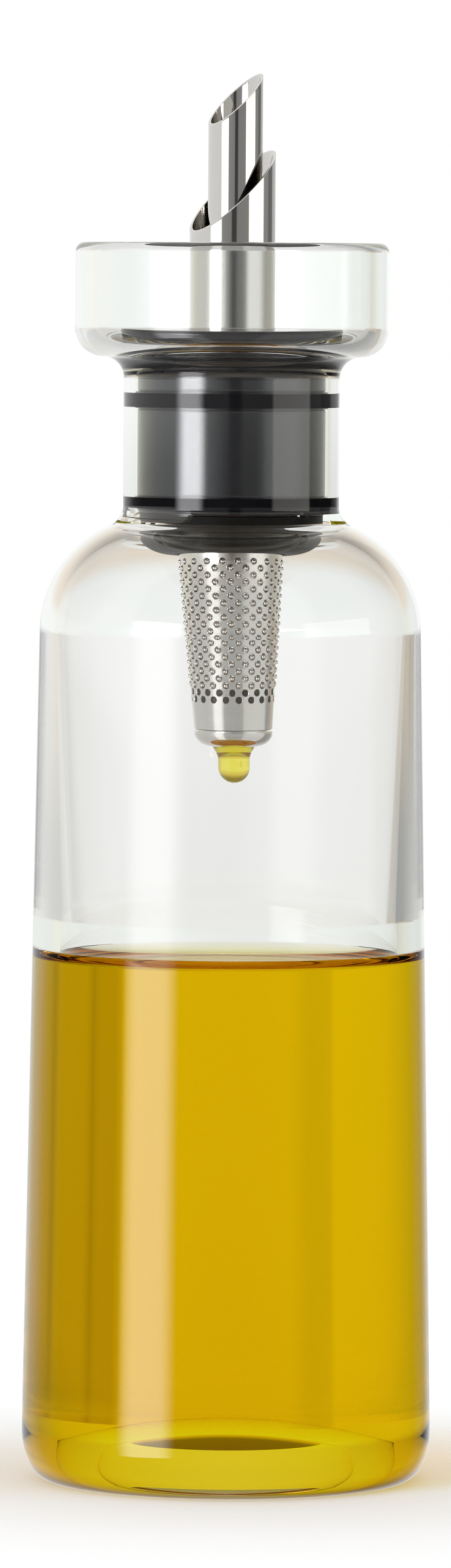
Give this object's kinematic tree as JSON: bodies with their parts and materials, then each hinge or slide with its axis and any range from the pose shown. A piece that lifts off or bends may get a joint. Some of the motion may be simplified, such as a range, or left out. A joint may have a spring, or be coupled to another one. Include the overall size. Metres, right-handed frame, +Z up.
{
  "type": "oil and vinegar bottle",
  "caption": "Clear glass oil bottle with a catch cup round its mouth, a lift-out stopper with slant-cut steel pouring tubes, and a perforated strainer that hangs above the oil.",
  "frame": {"origin": "centre of the bottle's standing face, on the table", "axes": "+Z up along the bottle's axis, +X towards the high side of the slant-cut tubes, which is the pouring side"},
  "size_m": [0.075, 0.075, 0.2573],
  "materials": {
    "clear_glass": "clear, fire-polished",
    "oil": "clear golden liquid",
    "grey_stopper": "smooth grey moulding",
    "black_seal": "soft satin black",
    "black_plastic": "satin black",
    "polished_steel": "mirror-polished stainless steel",
    "strainer_steel": "polished perforated stainless steel"
  },
  "bodies": {
    "bottle": {"bottle": "clear_glass", "oil_fill": "oil"},
    "stopper": {"stopper_core": "grey_stopper", "upper_seal_ring": "black_seal", "lower_seal_ring": "black_seal", "strainer_socket": "black_plastic", "drip_tube": "polished_steel", "pour_tube": "polished_steel"},
    "strainer": {"strainer_tube": "strainer_steel", "strainer_end_cap": "strainer_steel", "oil_drop": "oil"}
  },
  "joints": [
    {"name": "stopper_lift", "type": "slide", "parent": "bottle", "child": "stopper", "axis": [0, 0, 1], "range_m": [0, 0.105]},
    {"name": "strainer_pull", "type": "slide", "parent": "stopper", "child": "strainer", "axis": [0, 0, -1], "range_m": [0, 0.02]}
  ]
}
